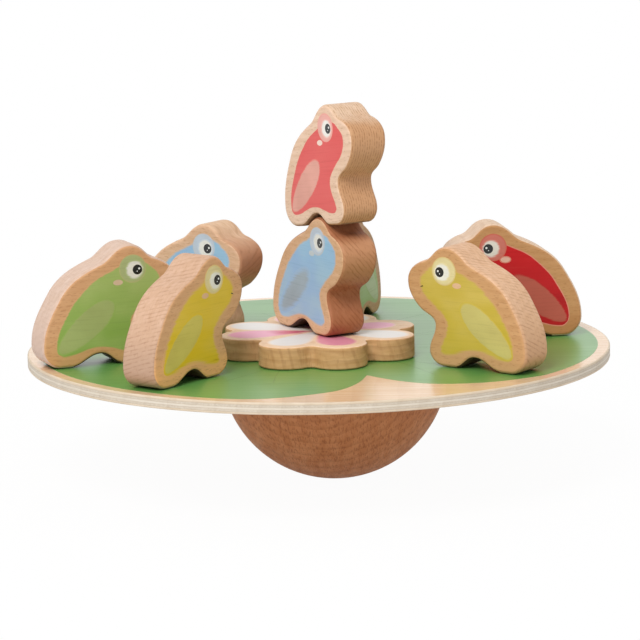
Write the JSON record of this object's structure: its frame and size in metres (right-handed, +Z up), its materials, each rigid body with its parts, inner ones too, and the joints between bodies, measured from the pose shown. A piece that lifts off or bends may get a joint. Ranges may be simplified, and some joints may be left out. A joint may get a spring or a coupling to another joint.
{
  "type": "stacking balance game",
  "caption": "Round lily-pad board that rocks on a turned wooden dome, with a loose flower block and loose flat wooden frogs to balance and stack on it.",
  "frame": {"origin": "on the table, under the middle of the round board", "axes": "+Z up from the table; -Y towards the viewer, where the pad has its bare notch"},
  "size_m": [0.25, 0.25, 0.1641],
  "materials": {
    "turned_beech": "oiled satin, turned",
    "dowel_beech": "bare",
    "printed_plywood": "green print under satin varnish, bare rim and edge",
    "flower_beech": "pink and white print on top, satin varnish",
    "green_print": "printed faces on satin beech",
    "yellow_print": "printed faces on satin beech",
    "blue_print": "printed faces on satin beech",
    "red_print": "printed faces on satin beech"
  },
  "bodies": {
    "rocker": {"rocker_dome": "turned_beech", "dome_dowel": "dowel_beech", "lily_pad_board": "printed_plywood"},
    "flower_block": {"flower": "flower_beech"},
    "green_left": {"frog_green_left": "green_print"},
    "green_back": {"frog_green_back": "green_print"},
    "yellow_left": {"frog_yellow_left": "yellow_print"},
    "yellow_right": {"frog_yellow_right": "yellow_print"},
    "blue_back": {"frog_blue_back": "blue_print"},
    "blue_stack": {"frog_blue_stack": "blue_print"},
    "red_right": {"frog_red_right": "red_print"},
    "red_top": {"frog_red_top": "red_print"}
  },
  "joints": [
    {"name": "lift_flower", "type": "slide", "parent": "rocker", "child": "flower_block", "axis": [0, 0, 1], "range_m": [0, 0.115]},
    {"name": "lift_green_left", "type": "slide", "parent": "rocker", "child": "green_left", "axis": [0, 0, 1], "range_m": [0, 0.115]},
    {"name": "lift_green_back", "type": "slide", "parent": "rocker", "child": "green_back", "axis": [0, 0, 1], "range_m": [0, 0.115]},
    {"name": "lift_yellow_left", "type": "slide", "parent": "rocker", "child": "yellow_left", "axis": [0, 0, 1], "range_m": [0, 0.115]},
    {"name": "lift_yellow_right", "type": "slide", "parent": "rocker", "child": "yellow_right", "axis": [0, 0, 1], "range_m": [0, 0.115]},
    {"name": "lift_blue_back", "type": "slide", "parent": "rocker", "child": "blue_back", "axis": [0, 0, 1], "range_m": [0, 0.115]},
    {"name": "lift_blue_stack", "type": "slide", "parent": "flower_block", "child": "blue_stack", "axis": [0, 0, 1], "range_m": [0, 0.115]},
    {"name": "lift_red_right", "type": "slide", "parent": "rocker", "child": "red_right", "axis": [0, 0, 1], "range_m": [0, 0.115]},
    {"name": "lift_red_top", "type": "slide", "parent": "blue_stack", "child": "red_top", "axis": [0, 0, 1], "range_m": [0, 0.115]}
  ]
}
